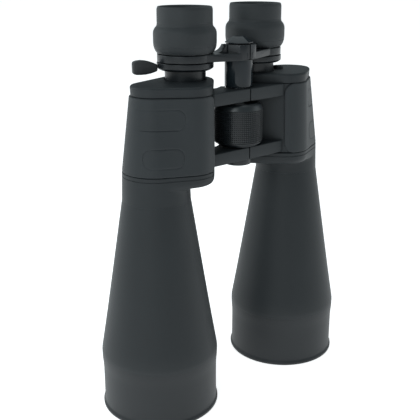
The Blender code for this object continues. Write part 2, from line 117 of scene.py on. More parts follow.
def surface(name, colour, rough, grain, depth, metallic=0.0, sheen=0.0, patchy=0.12, specular=0.5, foot=None):
    """A moulded, painted or turned surface: fine grain in its relief and gloss, broad patches in tone.

    foot is (low, high, colour): the tone at and below the low height, in metres, which is gone at the high one.
    """
    made, tree, shader = blank(name)
    shader.inputs["Metallic"].default_value = metallic
    shader.inputs["Sheen Weight"].default_value = sheen
    shader.inputs["Sheen Roughness"].default_value = 0.45
    shader.inputs["Specular IOR Level"].default_value = specular
    where = tree.nodes.new("ShaderNodeTexCoord")

    def noise(scale, detail):
        node = tree.nodes.new("ShaderNodeTexNoise")
        node.inputs["Scale"].default_value = scale
        node.inputs["Detail"].default_value = detail
        tree.links.new(where.outputs["Object"], node.inputs["Vector"])
        return node.outputs["Fac"]

    broad, fine = noise(PATCH_SCALE, 3.0), noise(grain, 2.0)
    base = blend(tree, broad, [c * (1 - patchy) for c in colour], [min(1, c * (1 + patchy)) for c in colour])
    if foot:
        split, fall = tree.nodes.new("ShaderNodeSeparateXYZ"), tree.nodes.new("ShaderNodeMapRange")
        tree.links.new(where.outputs["Object"], split.inputs[0])
        tree.links.new(split.outputs["Z"], fall.inputs["Value"])
        fall.interpolation_type = "SMOOTHSTEP"
        fall.inputs["From Min"].default_value, fall.inputs["From Max"].default_value = foot[0], foot[1]
        base = blend(tree, fall.outputs["Result"], foot[2], base)
    tree.links.new(base, shader.inputs["Base Color"])
    gloss = tree.nodes.new("ShaderNodeMapRange")
    gloss.inputs["To Min"].default_value = max(0.02, rough - GLOSS_SWING)
    gloss.inputs["To Max"].default_value = min(1.0, rough + GLOSS_SWING)
    tree.links.new(fine, gloss.inputs["Value"])
    tree.links.new(gloss.outputs["Result"], shader.inputs["Roughness"])
    relief = tree.nodes.new("ShaderNodeBump")
    relief.inputs["Strength"].default_value = 1.0
    relief.inputs["Distance"].default_value = depth * MM
    tree.links.new(fine, relief.inputs["Height"])
    tree.links.new(relief.outputs["Normal"], shader.inputs["Normal"])
    return made


def optic(name, colour, coating):
    """Lens glass, with a painted coating reflection: the base colour turns darker and tinted towards the rim,
    by the angle of view.
    """
    made, tree, shader = blank(name)
    shader.inputs["Roughness"].default_value = 0.02
    shader.inputs["IOR"].default_value = 1.52
    shader.inputs["Transmission Weight"].default_value = 0.85
    shader.inputs["Coat Weight"].default_value = coating
    shader.inputs["Coat Roughness"].default_value = 0.02
    shader.inputs["Coat Tint"].default_value = (0.75, 0.45, 0.80, 1)
    facing = tree.nodes.new("ShaderNodeLayerWeight")
    facing.inputs["Blend"].default_value = 0.35
    # Painted coating reflection: a darker, tinted base colour where the glass is seen edge-on
    rim = (colour[0] * 0.55, colour[1] * 0.75, colour[2] * 0.70)
    tree.links.new(blend(tree, facing.outputs["Facing"], colour, rim), shader.inputs["Base Color"])
    return made


# Outlines and profiles -------------------------------------------------------------------------------

def polar(centre, radius, degrees):
    angle = math.radians(degrees)
    return (centre[0] + radius * math.cos(angle), centre[1] + radius * math.sin(angle))


def arc(centre, radius, start, stop, count):
    return [polar(centre, radius, start + (stop - start) * k / (count - 1)) for k in range(count)]


def softened(corners, closed=True, steps=6):
    """A line through corners (a, b, reach), each rounded off by a curve that starts its reach away."""
    line, last = [], len(corners) - 1
    for k, corner in enumerate(corners):
        point = Vector(corner[:2])
        reach = corner[2] if len(corner) > 2 else 0
        if reach == 0 or (not closed and k in (0, last)):
            line.append(tuple(point))
            continue
        before, after = (Vector(corners[n % len(corners)][:2]) - point for n in (k - 1, k + 1))
        start = point + before.normalized() * min(reach, 0.48 * before.length)
        end = point + after.normalized() * min(reach, 0.48 * after.length)
        for n in range(steps + 1):
            t = n / steps
            line.append(tuple(start * (1 - t) ** 2 + point * 2 * t * (1 - t) + end * t ** 2))
    return line


def spaced(stops):
    """Positions through (position, step) stops, each stretch at its own step."""
    places = [stops[0][0]]
    for (start, step), (stop, _) in zip(stops, stops[1:]):
        count = max(1, round((stop - start) / step))
        places += [start + (stop - start) * (k + 1) / count for k in range(count)]
    return places


def casing_circles(z, grow=0.0):
    """The three circles that the casing's wall is drawn taut round, at a height."""
    share = (z - CASING_Z[0]) / (CASING_Z[1] - CASING_Z[0])
    radii = [low + (top - low) * share + grow for low, top in zip(RADII_LOW, RADII_TOP)]
    crossing = [low + (top - low) * share for low, top in zip(CROSSING_LOW, CROSSING)]
    return list(zip((OBJECTIVE, EYEPIECE, crossing), radii))


NORMALS = np.radians(np.arange(-180, 180.01, 0.5))
OUTWARD = np.stack([np.cos(NORMALS), np.sin(NORMALS)], axis=1)


def taut(circles):
    """A taut band round circles, as points and the length up to each."""
    centres, radii = np.array([c for c, _ in circles]), np.array([r for _, r in circles])
    touched = (OUTWARD @ centres.T + radii).argmax(axis=1)
    points = centres[touched] + OUTWARD * radii[touched][:, None]
    steps = np.linalg.norm(np.diff(points, axis=0), axis=1)
    return points, np.concatenate([[0], np.cumsum(steps)])


def along(circles, lengths):
    """Points at lengths along a taut band."""
    points, run = taut(circles)
    return np.stack([np.interp(lengths, run, points[:, k]) for k in (0, 1)], axis=1)


def normals_along(circles, lengths):
    """Outward normals at lengths along a taut band."""
    run = taut(circles)[1]
    normals = np.stack([np.interp(lengths, run, OUTWARD[:, k]) for k in (0, 1)], axis=1)
    return normals / np.linalg.norm(normals, axis=1)[:, None]


def band(circles, z):
    """A closed loop at even steps along a taut band."""
    total = taut(circles)[1][-1]
    return [(x, y, z) for x, y in along(circles, total * np.arange(BAND) / BAND)]


def reach_at(circles, normal):
    """The length along the band at an outward normal."""
    return float(np.interp(math.radians(normal), NORMALS, taut(circles)[1]))


# Meshes ----------------------------------------------------------------------------------------------

def skinned(loops, closed):
    """A mesh through equal loops: a ring of loops if closed, else with both ends filled."""
    mesh = bmesh.new()
    rings = [[mesh.verts.new(point) for point in loop] for loop in loops]
    count = len(rings[0])
    pairs = list(zip(rings, rings[1:]))
    if closed:
        pairs.append((rings[-1], rings[0]))
    else:
        mesh.faces.new(rings[0])
        mesh.faces.new(rings[-1])
    for low, high in pairs:
        for k in range(count):
            n = (k + 1) % count
            mesh.faces.new((low[k], low[n], high[n], high[k]))
    return mesh


def ring_loop(centre, radius, z, count, start=0):
    return [(*polar(centre, radius, 360 * k / count + start), z) for k in range(count)]


def turned(centre, corners, count=FINE, closed=True):
    """A ring turned from a closed profile of (radius, z, rounding), or a solid from an open one."""
    return skinned([ring_loop(centre, r, z, count) for r, z in softened(corners, closed)], closed)


def prism(plan, low, high):
    """A plain extruded plan, as a cutter."""
    return skinned([[(x, y, z) for x, y in plan] for z in (low, high)], closed=False)


def slab(plan, low, high, edge=0.5, steps=3):
    """An extruded plan whose top and bottom edges are rounded, by shrinking the plan towards them."""
    points = [Vector(p) for p in plan]
    area = sum(a.x * b.y - b.x * a.y for a, b in zip(points, points[1:] + points[:1]))
    turn = 1 if area > 0 else -1
    inward = []
    for k, point in enumerate(points):
        before = (point - points[k - 1]).normalized()
        after = (points[(k + 1) % len(points)] - point).normalized()
        left = Vector((-before.y, before.x)) + Vector((-after.y, after.x))
        inward.append(left.normalized() * turn)
    loops = []
    stages = [(edge * (1 - math.sin(math.pi / 2 * n / steps)), edge * (1 - math.cos(math.pi / 2 * n / steps)))
              for n in range(steps + 1)]
    for inset, rise in stages:
        loops.append([(*(p + i * inset), low + rise) for p, i in zip(points, inward)])
    for inset, rise in reversed(stages):
        loops.append([(*(p + i * inset), high - rise) for p, i in zip(points, inward)])
    return skinned(loops, closed=False)


def finished(data, smooth):
    """Smooth shading, but for edges sharper than an angle in degrees."""
    data.shade_smooth()
    data.set_sharp_from_angle(angle=math.radians(smooth))


def place(name, mesh, finish, side=1, smooth=35):
    """An object from a mesh in millimetres."""
    for vert in mesh.verts:
        vert.co.x *= side * MM
        vert.co.y *= MM
        vert.co.z *= MM
    bmesh.ops.triangulate(mesh, faces=[f for f in mesh.faces if len(f.verts) > 4])
    bmesh.ops.recalc_face_normals(mesh, faces=mesh.faces)
    data = bpy.data.meshes.new(name)
    mesh.to_mesh(data)
    mesh.free()
    finished(data, smooth)
    obj = bpy.data.objects.new(name, data)
    if finish is not None:
        data.materials.append(finish)
    bpy.context.scene.collection.objects.link(obj)
    return obj


def combine(obj, mesh, operation="UNION", side=1):
    """Unites a mesh with an object, or cuts it away, and applies the result."""
    helper = place(f"{obj.name}_helper", mesh, None, side)
    modifier = obj.modifiers.new("combine", "BOOLEAN")
    modifier.operation = operation
    modifier.object = helper
    modifier.solver = "MANIFOLD"
    result = bpy.data.meshes.new_from_object(obj.evaluated_get(bpy.context.evaluated_depsgraph_get()))
    obj.modifiers.clear()
    old = obj.data
    obj.data = result
    bpy.data.meshes.remove(old)
    bpy.data.objects.remove(helper)
    finished(result, 35)


def stands_for(obj, body, node):
    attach(obj, body)
    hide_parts(node)


# Objective end ---------------------------------------------------------------------------------------

def lens_hood(word, side, look):
    """The rubber hood: a lip at the rim, a swelling where it meets the cone, and baffle rings inside."""
    corners = [(39.6, 0, 0.25), (41.3, 0, 0.5), (42.0, 0.7, 0.5), (42.0, 2.3, 0.5), (40.95, 3.5, 0.9),
               (40.9, 20, 2), (40.95, 31.0, 4.0), (41.5, 37.0, 3.0), (CONE_FOOT[0], 40.74, 0),
               (BAFFLE_R, 40.4, 0.1)]
    z = 28.0
    while z > 5.0:
        corners += [(BAFFLE_R, z, 0), (BAFFLE_R + 0.45, z - 0.45, 0), (BAFFLE_R + 0.45, z - 0.85, 0),
                    (BAFFLE_R, z - 1.3, 0)]
        z -= 2.0
    corners.append((BAFFLE_R, 1.2, 0.4))
    hood = place(f"hood_{word}", turned(OBJECTIVE, corners), look["hood_rubber"], side)
    stands_for(hood, f"{word}_half", f"lens_hood_{word}")


def objective_tube(word, side, look):
    """The cone, bulging softly where it leaves the hood. Both its ends meet their neighbours flush."""
    def cone(z, bulge=0.0):
        (foot_r, foot_z), (top_r, top_z) = CONE_FOOT, CONE_TOP
        return foot_r + (top_r - foot_r) * (z - foot_z) / (top_z - foot_z) + bulge

    corners = [(38.9, 40.8, 0), (*CONE_FOOT, 0), (41.62, 43.5, 2.0), (cone(50, 0.35), 50, 6.0),
               (cone(70, 0.1), 70, 10), (cone(110), 110, 10), (*CONE_TOP, 0), (21.1, 154.1, 0.1),
               (20.9, 163.5, 0.2), (19.6, 163.5, 0.2), (19.6, 150, 1), (39.0, 47, 1), (37.4, 45.5, 0.3),
               (37.4, 30.5, 0.2), (38.9, 30.5, 0.2)]
    tube = place(f"cone_{word}", turned(OBJECTIVE, corners), look["tube_coat"], side)
    stands_for(tube, f"{word}_half", f"objective_tube_{word}")


def objective_glass(word, side, look):
    """The objective: its cell, its lens, and the ring that holds it."""
    cell = [(37.1, 30.5, 0.2), (37.1, 45, 0.3), (33.6, 45, 0.3), (33.6, 43.2, 0.2), (35.3, 43.2, 0.1),
            (35.3, 30.5, 0.2)]
    lens = [(CENTRE_R, 29.25), (6, 29.3, 1), (14, 29.65, 3), (22, 30.35, 3), (29, 31.3, 3), (35, 32.6, 0.2),
            (35, 42.0, 0.3), (20, 42.7, 5), (6, 42.8, 2), (CENTRE_R, 42.8)]
    ring = [(34.9, 30.2, 0.15), (34.9, 31.7, 0.1), (33.5, 31.7, 0.1), (33.3, 31.2, 0.1), (33.3, 30.2, 0.2)]
    pieces = (("cell", "objective_cell", cell, "black_metal", True),
              ("objective", "objective_lens", lens, "coated_glass", False),
              ("lens_ring", "retaining_ring", ring, "black_metal", True))
    for name, node, corners, finish, closed in pieces:
        made = place(f"{name}_{word}", turned(OBJECTIVE, corners, closed=closed), look[finish], side)
        stands_for(made, f"{word}_half", f"{node}_{word}")


# Prism casing ----------------------------------------------------------------------------------------

def arm_plan():
    """A hinge arm from above: flat front, rounded root, and a hollow end round the other arm's knuckle."""
    hollow = arc(HINGE, SHELL_R, 55, -87, 24)
    front = softened([(HALF_SLIT, ARM_FRONT_Y), (33.3, ARM_FRONT_Y, 0.8), (35.6, -22.0, 0.8), (34.0, -16.5, 1),
                      (27.0, -10.0, 2), (22.5, -6.2, 1), (15.0, -5.9, 1.5), (10.3, -3.5, 2), (7.4, -2.0, 0.8),
                      hollow[0]], closed=False)
    return front[:-1] + hollow


def knuckle(low, high, bore):
    """A hinge knuckle, with a lug on its outer side that joins it to its arm."""
    outer = []
    for k in range(COARSE):
        lug = 2.0 * max(0.0, min(1.0, 5 * math.cos(2 * math.pi * k / COARSE) - 3))
        outer.append(polar(HINGE, KNUCKLE_R + lug, 360 * k / COARSE))
    loops = [[(x, y, low) for x, y in outer], [(x, y, high) for x, y in outer],
             ring_loop(HINGE, bore, high, COARSE), ring_loop(HINGE, bore, low, COARSE)]
    return skinned(loops, closed=True)


def knuckle_span(z_range, upper_half):
    """The heights of one knuckle of a pair: the left half has the upper one."""
    low, high = z_range
    middle = (low + high) / 2
    return (middle + 0.2, high - 0.2) if upper_half else (low + 0.2, middle - 0.2)


def prism_casing(word, side, look):
    """The box with a small edge at both ends, and its two hinge arms with their knuckles."""
    low, high = CASING_Z
    loops = [band(casing_circles(low, -0.3), low), band(casing_circles(low + 0.3), low + 0.3),
             band(casing_circles(high - 0.3), high - 0.3), band(casing_circles(high, -0.3), high),
             band(casing_circles(high, -CASING_WALL), high), band(casing_circles(low, -CASING_WALL), low)]
    casing = place(f"casing_{word}", skinned(loops, closed=True), look["casing_paint"], side)
    for z_range in ARM_Z.values():
        combine(casing, slab(arm_plan(), *z_range, edge=0.55), side=side)
        combine(casing, knuckle(*knuckle_span(z_range, side > 0), PIN_BORE), side=side)
    stands_for(casing, f"{word}_half", f"prism_casing_{word}")


def groove_depth(distance, half_width=0.42, depth=0.4):
    """The depth of a soft groove at a distance from its middle line."""
    share = np.clip(1 - np.abs(distance) / half_width, 0, 1)
    return depth * share * share * (3 - 2 * share)


def outline_distance(across, z, box, corner):
    """Distance from a rounded rectangle (low, high across; low, high z), negative inside."""
    centre = ((box[0] + box[1]) / 2, (box[2] + box[3]) / 2)
    half = ((box[1] - box[0]) / 2 - corner, (box[3] - box[2]) / 2 - corner)
    dx, dz = np.abs(across - centre[0]) - half[0], np.abs(z - centre[1]) - half[1]
    outside = np.hypot(np.maximum(dx, 0), np.maximum(dz, 0))
    return outside + np.minimum(np.maximum(dx, dz), 0) - corner


def sunk_outlines(flat, lengths, z):
    """How deep the two outlines and the dot are at points of the skin. The upper outline fades outwards."""
    across = along(flat, lengths) @ np.array(FACE_ACROSS)
    fade = np.clip((72.5 - across) / 9, 0, 1)
    sunk = groove_depth(outline_distance(across, z, *LOWER_OUTLINE))
    sunk = sunk + groove_depth(outline_distance(across, z, *UPPER_OUTLINE)) * fade
    sunk += groove_depth(np.hypot(across - DOT[0], z - DOT[1]), 0.9, 0.5)
    facing = normals_along(flat, lengths) @ np.array(FACE_OUT)
    sunk *= np.clip((facing - 0.60) / 0.20, 0, 1)          # none round the back
    return np.minimum(sunk, 0.5)


def sheet(front, behind):
    """A mesh between two equal grids of points, closed round its four edges."""
    mesh = bmesh.new()
    front, behind = ([[mesh.verts.new(p) for p in row] for row in grid] for grid in (front, behind))
    strips = [pair for grid in (front, behind) for pair in zip(grid, grid[1:])]
    strips += [(front[0], behind[0]), (front[-1], behind[-1])]
    strips += [([row[k] for row in front], [row[k] for row in behind]) for k in (0, -1)]
    for a, b in strips:
        for k in range(len(a) - 1):
            mesh.faces.new((a[k], a[k + 1], b[k + 1], b[k]))
    return mesh


def rubber_skin(word, side, look):
    """The rubber round the casing: rounded edges, rounded corners by the hinge, and two sunk outlines."""
    low, high, corner, edge = CASING_Z[0] + 0.05, CASING_Z[1] - 0.05, SKIN_CORNER, SKIN_EDGE
    rows = spaced([(low, 0.12), (low + edge, 0.5), (low + corner, 0.42), (high - corner, 0.5),
                   (high - edge, 0.12), (high, 1)])
    middle = casing_circles(200, SKIN_OUT)
    widest = reach_at(middle, SKIN_NORMALS[1]) - reach_at(middle, SKIN_NORMALS[0])
    shares = spaced([(0, 0.12), (edge, 0.5), (20, 0.42), (60, 1.3), (widest - edge, 0.12), (widest, 1)])
    shares = np.array(shares) / widest
    outer, inner = [], []
    for z in rows:
        flat = casing_circles(z, SKIN_OUT)
        first, last = (reach_at(flat, n) for n in SKIN_NORMALS)
        from_end = min(z - low, high - z)
        cut = corner - math.sqrt(max(0.0, corner ** 2 - (corner - from_end) ** 2)) if from_end < corner else 0
        lengths = first + cut + (last - first - 2 * cut) * shares
        to_edge = np.minimum(np.minimum(lengths - first - cut, last - cut - lengths), from_end)
        fall = np.where(to_edge < edge, edge - np.sqrt(np.maximum(0, edge ** 2 - (edge - to_edge) ** 2)), 0)
        points, normals = along(flat, lengths), normals_along(flat, lengths)
        for grid, depth in ((outer, fall + sunk_outlines(flat, lengths, z)), (inner, SKIN_THICK + 0 * fall)):
            grid.append([(x, y, z) for x, y in points - normals * depth[:, None]])
    skin = place(f"skin_{word}", sheet(outer, inner), look["armour"], side, smooth=60)
    stands_for(skin, f"{word}_half", f"rubber_skin_{word}")


def upper_cover(word, side, look):
    """The cover at the eyepiece end, with a small soft edge round its roof. The left one has a plug."""
    low, high, bore, ceiling = 225.2, 231.6, 14.4, 2.2
    profile = softened([(0.9, low, 0.25), (0.9, high - 1.0, 0.5), (0.0, high, 0.6), (-4.5, high, 1)],
                       closed=False)
    loops = [band(casing_circles(low, grow), z) for grow, z in [(0.65, low)] + profile[1:]]
    for radius, z in ((bore + 0.3, high), (bore, high - 0.3), (bore, high - ceiling)):
        loops.append(ring_loop(EYEPIECE, radius, z, BAND, -180))
    loops += [band(casing_circles(low, -1.3), z) for z in (high - ceiling, low)]
    cover = place(f"cover_{word}", skinned(loops, closed=True), look["casing_paint"], side)
    if side > 0:
        plug = [(3.7, high - 1.5), (3.7, high + 1.9, 0.5), (3.1, high + 2.4, 0.4), (2.3, high + 2.4, 0.2),
                (2.0, high + 2.1, 0.2), (0.5, high + 2.1)]
        combine(cover, turned((52.0, -0.5), plug, 64, closed=False))
    stands_for(cover, f"{word}_half", f"upper_cover_{word}")


def lower_cover(word, side, look):
    """The cover at the objective end: an outlined rim that draws in and flows into the round collar."""
    high, low = 174.1, 154.25
    lobes = casing_circles(CASING_Z[0])[1:]

    def shape(z, grow, draw=0.0, sunk=0.0):
        """The tube's side runs straight down. draw takes the two lobes from their place into the tube."""
        tube_r = CONE_TOP[0] - 0.75 * (z - low) / (high - low)
        circles = [(OBJECTIVE, tube_r - sunk)]
        for centre, radius in lobes:
            spot = [c + (o - c) * draw for c, o in zip(centre, OBJECTIVE)]
            circles.append((spot, radius + grow + (tube_r - 0.3 - radius - grow) * draw - sunk))
        return band(circles, z)

    rim, foot = 169.4, 165.1
    loops = [shape(high, 1.2, sunk=0.4), shape(high - 0.35, 1.2), shape(high - 2.3, 1.2),
             shape(high - 2.5, 1.2, sunk=0.3), shape(high - 2.8, 1.2, sunk=0.3), shape(high - 3.0, 1.2)]
    for k in range(9):
        angle = math.pi / 2 * k / 8
        loops.append(shape(rim - (rim - foot) * math.sin(angle), 1.1 - 3.4 * (1 - math.cos(angle))))
    for k in range(1, 15):
        share = k / 14
        drop = 0.5 * share + 3.0 * max(0.0, (share - 0.8) / 0.2) ** 2
        loops.append(shape(foot - drop, -2.3, share))
    loops += [shape(157.0, -2.3, 1), shape(low, -2.3, 1)]
    inner = [(OBJECTIVE, 21.2)]
    deep, wide = (inner + [(centre, radius - wall) for centre, radius in lobes] for wall in (4.4, 1.0))
    loops += [band(circles, z) for circles, z in ((inner, low), (inner, 167.0), (deep, 167.4), (wide, high))]
    cover = place(f"foot_cover_{word}", skinned(loops, closed=True), look["casing_paint"], side)
    stands_for(cover, f"{word}_half", f"lower_cover_{word}")


# Hinge and focus drive -------------------------------------------------------------------------------

def tripod_cover(look):
    """The screw cover under the hinge, with a coin slot."""
    corners = [(2.9, 181.0), (2.9, 174.8, 0.1), (10.1, 174.8, 0.2), (10.1, 171.3, 0.5), (9.2, 170.4, 0.5),
               (0.5, 170.4)]
    cover = place("socket_cover", turned(HINGE, corners, COARSE, closed=False), look["satin_black"])
    combine(cover, slab([(-7, -13.1), (7, -13.1), (7, -11.3), (-7, -11.3)], 169.0, 171.3, 0.1), "DIFFERENCE")
    stands_for(cover, "left_half", "tripod_socket_cap")


def wheel_core(look):
    low, high = WHEEL_Z
    corners = [(7.2, low, 0.2), (13.9, low, 0.4), (14.9, low + 1, 0.3), (14.9, high - 0.9, 0.2),
               (13.9, high, 0.3), (6.2, high, 0.3), (5.6, high - 0.6, 0.2), (4.4, high - 0.6, 0.1),
               (4.4, low + 1.2, 0.1), (7.2, low + 1.2, 0.1)]
    core = place("wheel_core", turned(HINGE, corners), look["satin_black"])
    stands_for(core, "focus_wheel", "focus_wheel_core")


def wheel_grip(look):
    """The rubber grip: a square knurl between two smooth bevels."""
    low, high = WHEEL_Z
    columns, rows, base, proud = 72, 16, 16.45, 17.3
    first, last = low + 3.3, high - 4.4
    pitch = (last - first) / rows
    # Shares of one stud's pitch, and whether the stud stands proud there
    beat = ((0.0, 0), (0.26, 0), (0.40, 1), (0.86, 1))
    heights = [(low + 1.4, 15.2), (low + 1.4, 15.9), (low + 1.65, 16.3), (first - 0.6, 17.2),
               (first - 0.25, 17.2), (first - 0.05, base)]
    profile = [(z, r, r) for z, r in heights]
    for row in range(rows):
        for share, up in beat:
            profile.append((first + pitch * (row + share), base, proud if up else base))
    profile += [(z, r, r) for z, r in ((last, base), (last + 0.2, 17.2), (last + 0.5, 17.2), (high - 1.4, 16.1),
                                       (high - 0.8, 15.75), (high - 0.6, 15.5), (high - 0.6, 15.2))]
    loops = []
    for z, in_groove, on_stud in profile:
        loop = []
        for column in range(columns):
            for share, up in beat:
                loop.append((*polar(HINGE, on_stud if up else in_groove, 360 * (column + share) / columns), z))
        loops.append(loop)
    grip = place("wheel_grip", skinned(loops, closed=True), look["grip_rubber"], smooth=30)
    stands_for(grip, "focus_wheel", "focus_wheel_grip")


def bridge_shaft(look):
    """The glossy sleeve between the wheel and the hub, and the eight-sided cap nut on the hub."""
    low, high = 225.4, 244.3
    corners = [(9.7, low, 0.5), (9.7, high, 0.3), (6.7, high, 0.2), (6.7, low, 0.3)]
    sleeve = place("shaft", turned(HINGE, corners), look["gloss_black"])
    stands_for(sleeve, "bridge", "bridge_sleeve")
    low = HUB_Z[1] + 0.3
    profile = ((9.2, 0.0), (9.65, 0.35), (9.65, 0.8), (9.3, 1.1), (4.2, 4.35), (3.7, 4.6), (0.6, 4.7))
    loops = [ring_loop(HINGE, radius, low + rise, 8) for radius, rise in profile]
    cap = place("cap_nut", skinned(loops, closed=False), look["gloss_black"], smooth=14)
    stands_for(cap, "bridge", "bridge_cap")


def hub_ramp():
    """The hollow-curved fall from the hub's top to the bar's, along the middle of the bar."""
    out, across = (0.880, 0.475), (-0.475, 0.880)
    top, bar_top, bottom, start = 253.9, 248.6, 246.0, 11.0
    loops = []
    for run in spaced([(10.2, 0.5), (start, 0.25), (15.0, 0.5), (21.0, 1)]):
        z = top if run < start else bar_top + 5.3 * math.exp(-(run - start) / 2.4)
        loop = [(-6.5, z - 0.4), (-6.1, z), (5.1, z), (5.5, z - 0.4), (5.5, bottom), (-6.5, bottom)]
        loops.append([(HINGE[0] + run * out[0] + w * across[0], HINGE[1] + run * out[1] + w * across[1], h)
                      for w, h in loop])
    return skinned(loops, closed=False)


def bridge_arm(word, side, look):
    """A ring round the eyepiece tube, a flat bar, and half of the hub."""
    low, high = BRIDGE_Z
    ring = [(19.0, low, 0.4), (19.0, high, 0.4), (14.3, high, 0.2), (14.3, low, 0.2)]
    arm = place(f"bridge_{word}", turned(EYEPIECE, ring), look["satin_black"], side)
    inside = arc(EYEPIECE, 16.6, -74, -212, 24)
    bar = [(2.0, -23.6), (5.5, -22.4), *inside, (9.3, -4.0), *arc(HINGE, 10.6, 40, -80, 24)]
    hollow = arc(HINGE, SHELL_R, 40, -87, 24)
    shell = softened([(HALF_SLIT, -23.4), (4.2, -23.2, 2.2), (7.6, -21.4, 0.3), (11.8, -13.5, 0.8),
                      (10.6, -7.0, 1.2), hollow[0]], closed=False)
    span = knuckle_span(HUB_Z, side > 0)
    for mesh in (slab(bar, low + 0.3, high + 0.3, 0.4), slab(shell[:-1] + hollow, *HUB_Z, 0.4), hub_ramp(),
                 knuckle(*span, SCREW_BORE if side > 0 else PIN_BORE)):
        combine(arm, mesh, side=side)
    if side > 0:
        boss = [(6.4, HUB_Z[0] + 0.2), (6.4, span[0] + 1), (4.8, span[0] + 1), (4.8, HUB_Z[0] + 0.2)]
        combine(arm, turned(HINGE, boss, COARSE))
    stands_for(arm, ARM_BODY[word], f"bridge_arm_{word}")


# Eyepieces -------------------------------------------------------------------------------------------

def ocular_tube(word, side, look):
    """The tube that slides in the upper cover, with the slot that the zoom ring's pin runs in."""
    low, high = 217.0, 262.0
    corners = [(TUBE_R, low, 0.3), (TUBE_R, high, 0.3), (TUBE_BORE, high, 0.2), (TUBE_BORE, low, 0.2)]
    tube = place(f"tube_{word}", turned(EYEPIECE, corners), look["satin_black"], side)
    slot = arc(EYEPIECE, TUBE_R + 1, -80, 80, 40) + arc(EYEPIECE, TUBE_BORE - 1, 80, -80, 40)
    combine(tube, prism(slot, 239.5, 241.9), "DIFFERENCE", side)
    stands_for(tube, ARM_BODY[word], f"ocular_tube_{word}")


def zoom_ring(word, side, look):
    corners = [(17.5, 238.3, 0.3), (19.3, 239.6, 0.5), (19.3, 243.2, 0.4), (14.4, 243.3, 0.2),
               (14.4, 238.3, 0.2)]
    ring = place(f"zoom_{word}", turned(EYEPIECE, corners), look["satin_black"], side)
    notch = [(x + EYEPIECE[0], y + EYEPIECE[1]) for x, y in ((13, -1.2), (16.2, -1.2), (16.2, 1.2), (13, 1.2))]
    combine(ring, prism(notch, 237.0, 242.0), "DIFFERENCE", side)
    stands_for(ring, f"{word}_zoom", f"zoom_ring_{word}")


def zoom_lever(look):
    """The thumb paddle: a thin neck that widens into a tall blade with upright grip ribs on both faces."""
    centre, angle = (-EYEPIECE[0], EYEPIECE[1]), 156.0
    ribs, rib_pitch, rib_height = (25.0, 34.2), 0.8, 0.28
    # Distance out, low and high edges, half thickness
    stations = np.array([
        (19.6, 238.2, 242.0, 1.4), (20.2, 237.6, 242.4, 1.7), (22.5, 236.8, 243.4, 1.8),
        (25.0, 236.2, 244.3, 2.0), (28.0, 235.8, 245.0, 2.3), (31.0, 235.7, 245.3, 2.5),
        (34.0, 235.8, 245.0, 2.5), (35.8, 236.3, 244.4, 2.3), (36.5, 237.1, 243.5, 1.8)])
    loops = []
    for radius in spaced([(19.6, 0.2), (36.5, 1)]):
        low, high, half = (float(np.interp(radius, stations[:, 0], stations[:, k])) for k in (1, 2, 3))
        ribbed = ribs[0] < radius < ribs[1]
        rib = rib_height * max(0.0, math.sin((radius - ribs[0]) * math.pi / rib_pitch))
        soft = min(0.7, half * 0.4)
        outline = softened([(-half, low, soft), (half, low, soft), (half, high, soft), (-half, high, soft)],
                           steps=4)
        loop = []
        for across, z in outline:
            if ribbed:
                inside = min(1.0, max(0.0, min(z - low, high - z) - 0.8) / 0.6)
                across += math.copysign((rib - rib_height / 2) * inside, across)
            loop.append((*polar(polar(centre, radius, angle), across, angle + 90), z))
        loops.append(loop)
    lever = place("lever", skinned(loops, closed=False), look["lever_plastic"], smooth=40)
    stands_for(lever, "right_zoom", "zoom_lever")


def eyepiece_head(word, side, look):
    """The head that carries the eye lens: the left one holds it, the right one holds the dioptre cell."""
    shelf, top = 262.4, 273.0
    if side > 0:
        inside = [(9.8, top, 0.3), (9.8, 271.6, 0), (10.8, 271.6, 0), (10.8, 264.0, 0), (9.8, 264.0, 0),
                  (9.8, shelf, 0)]
    else:
        inside = [(11.6, top, 0.3), (11.6, 272.5, 0), (12.7, 272.5, 0), (12.7, shelf, 0)]
    corners = [(16.8, CUP_FOOT_Z, 0.3), (16.8, top - 1, 0.3), (15.8, top, 0.3), *inside, (14.3, shelf, 0),
               (14.3, CUP_FOOT_Z, 0.2)]
    head = place(f"head_{word}", turned(EYEPIECE, corners), look["satin_black"], side)
    stands_for(head, HEAD_BODY[word], f"eyepiece_head_{word}")


def rubber_eyecup(word, side, look):
    """The soft eyecup: a rolled rim, a straight neck, a swollen grip and a tapered foot."""
    corners = [(17.1, CUP_FOOT_Z, 0.3), (18.9, CUP_FOOT_Z, 0.6), (20.4, 251.3, 1.4), (21.15, 253.7, 0.9),
               (21.2, 253.9, 0), (21.1, 254.1, 0), (21.2, 254.3, 0), (21.4, 256.0, 1.2), (21.4, 263.2, 1.6),
               (20.4, 265.4, 1.2), (18.9, 266.9, 1.0), (18.75, 268.6, 0.4), (18.6, 268.9, 0.2),
               (18.75, 269.2, 0.4), (18.7, 277.9, 1.0), (18.1, 279.5, 0.7), (17.3, 279.5, 0.6),
               (16.6, 278.4, 0.8), (16.4, 275.0, 2), (17.1, 272.6, 0.3)]
    cup = place(f"eyecup_{word}", turned(EYEPIECE, corners), look["rubber"], side)
    stands_for(cup, HEAD_BODY[word], f"rubber_eyecup_{word}")


def dioptre_cell(look):
    """The right eyepiece's lens cell, which screws in and out."""
    corners = [(12.4, 264.4, 0.2), (12.4, 270.6, 0.3), (8.8, 270.6, 0.2), (8.8, 270.1, 0), (9.9, 270.1, 0),
               (9.9, 264.9, 0), (8.8, 264.9, 0), (8.8, 264.4, 0)]
    cell = place("dioptre_mount", turned(EYEPIECE, corners), look["black_metal"], SIDES["right"])
    stands_for(cell, "dioptre_cell", "dioptre_cell")


